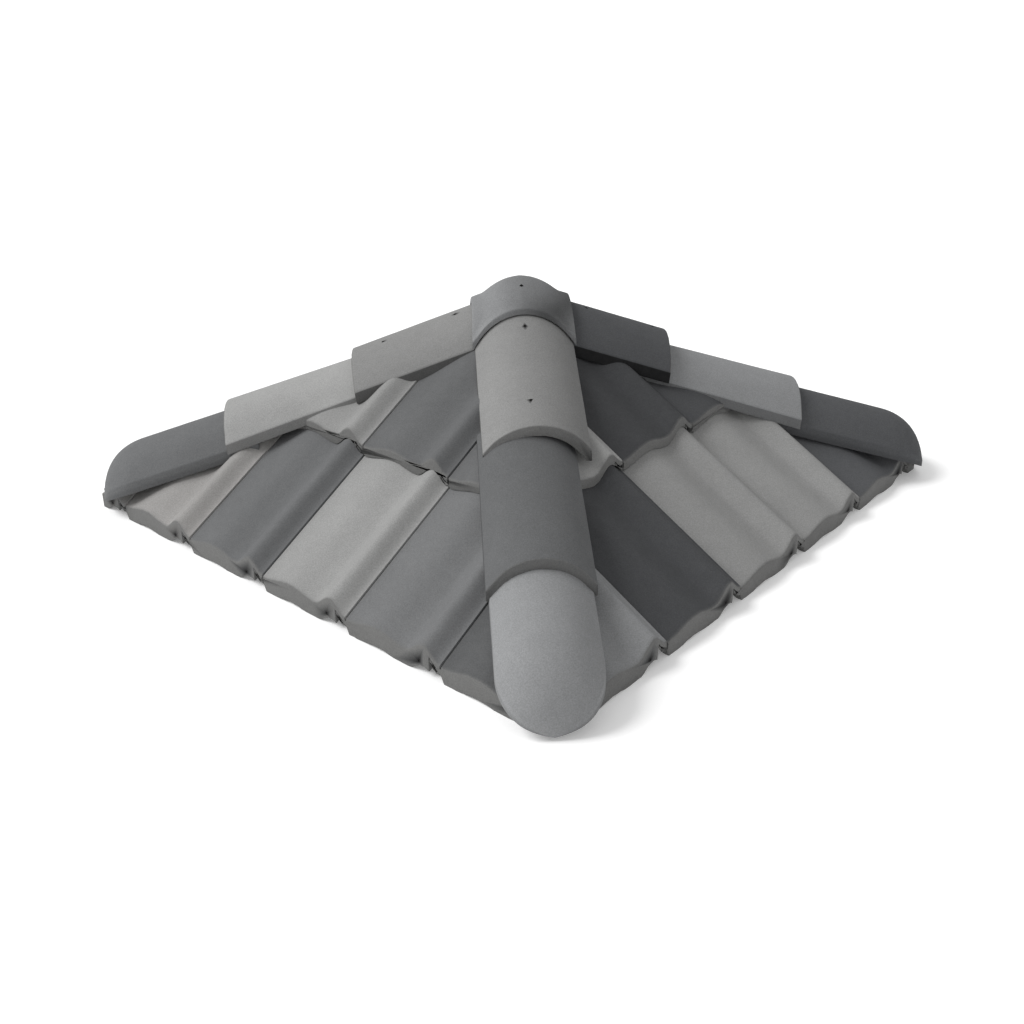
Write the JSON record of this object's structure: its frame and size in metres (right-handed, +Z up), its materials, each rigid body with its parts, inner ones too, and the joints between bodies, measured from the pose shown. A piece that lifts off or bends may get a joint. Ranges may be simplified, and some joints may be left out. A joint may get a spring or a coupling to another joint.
{
  "type": "tiled pyramid roof top",
  "caption": "Square pyramid roof top of interlocking concrete tiles, with ridge tiles along its hips and a four-way apex tile on top.",
  "frame": {"origin": "On the plane that the eave rests on, under the middle of the object's box.", "axes": "X and Y run along the hips, with -Y to the front hip in the picture, and Z is up."},
  "size_m": [1.85, 1.856, 0.4835],
  "materials": {
    "concrete_light": "matte, fine-grained concrete, light grey",
    "concrete_warm": "matte, fine-grained concrete, warm light grey",
    "concrete_mid": "matte, fine-grained concrete, mid grey",
    "concrete_dark": "matte, fine-grained concrete, dark grey",
    "concrete_graphite": "matte, fine-grained concrete, graphite grey"
  },
  "bodies": {
    "root": {"apex_tile": "concrete_mid", "hip_back_middle": "concrete_light", "hip_back_starter": "concrete_mid", "hip_back_top": "concrete_mid", "hip_front_middle": "concrete_dark", "hip_front_starter": "concrete_mid", "hip_front_top": "concrete_light", "hip_left_middle": "concrete_light", "hip_left_starter": "concrete_dark", "hip_left_top": "concrete_light", "hip_right_middle": "concrete_mid", "hip_right_starter": "concrete_graphite", "hip_right_top": "concrete_graphite", "tile_back_left_lower_1": "concrete_dark", "tile_back_left_lower_2": "concrete_dark", "tile_back_left_lower_3": "concrete_light", "tile_back_left_lower_4": "concrete_mid", "tile_back_left_lower_5": "concrete_dark", "tile_back_left_lower_6": "concrete_light", "tile_back_left_lower_7": "concrete_mid", "tile_back_left_upper_1": "concrete_dark", "tile_back_left_upper_2": "concrete_light", "tile_back_left_upper_3": "concrete_mid", "tile_back_right_lower_1": "concrete_mid", "tile_back_right_lower_2": "concrete_mid", "tile_back_right_lower_3": "concrete_graphite", "tile_back_right_lower_4": "concrete_mid", "tile_back_right_lower_5": "concrete_light", "tile_back_right_lower_6": "concrete_dark", "tile_back_right_upper_1": "concrete_light", "tile_back_right_upper_2": "concrete_mid", "tile_back_right_upper_3": "concrete_dark", "tile_front_left_lower_1": "concrete_warm", "tile_front_left_lower_2": "concrete_warm", "tile_front_left_lower_3": "concrete_dark", "tile_front_left_lower_4": "concrete_light", "tile_front_left_lower_5": "concrete_mid", "tile_front_left_lower_6": "concrete_dark", "tile_front_left_upper_1": "concrete_light", "tile_front_left_upper_2": "concrete_dark", "tile_front_left_upper_3": "concrete_mid", "tile_front_right_lower_1": "concrete_mid", "tile_front_right_lower_2": "concrete_mid", "tile_front_right_lower_3": "concrete_graphite", "tile_front_right_lower_4": "concrete_light", "tile_front_right_lower_5": "concrete_light", "tile_front_right_lower_6": "concrete_graphite", "tile_front_right_lower_7": "concrete_dark", "tile_front_right_upper_1": "concrete_light", "tile_front_right_upper_2": "concrete_graphite", "tile_front_right_upper_3": "concrete_graphite"}
  },
  "joints": []
}
